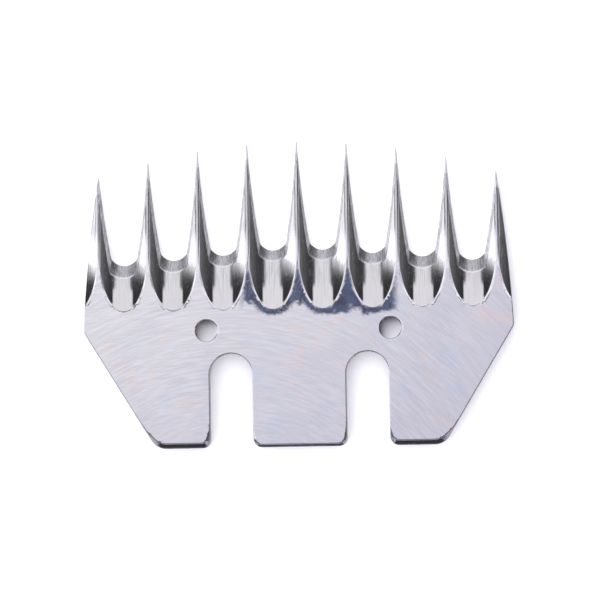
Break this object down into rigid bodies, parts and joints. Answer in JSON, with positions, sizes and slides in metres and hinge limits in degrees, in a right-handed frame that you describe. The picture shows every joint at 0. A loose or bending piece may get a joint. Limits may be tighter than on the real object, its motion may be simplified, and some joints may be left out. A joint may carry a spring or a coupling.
{
  "type": "sheep shearing comb",
  "caption": "Flat steel shearing comb with tapered pointed teeth, scalloped gaps, three heels, two open-ended screw slots and two blind locating recesses.",
  "frame": {"origin": "midway between the round ends of the two comb-screw slots, on the flat cutter-side face", "axes": "+X across the comb, +Y from the heels towards the tooth points, +Z out of the skin-side face"},
  "size_m": [0.08, 0.0568, 0.0036],
  "materials": {
    "ground_steel": "satin"
  },
  "bodies": {
    "root": {"comb": "ground_steel"}
  },
  "joints": []
}
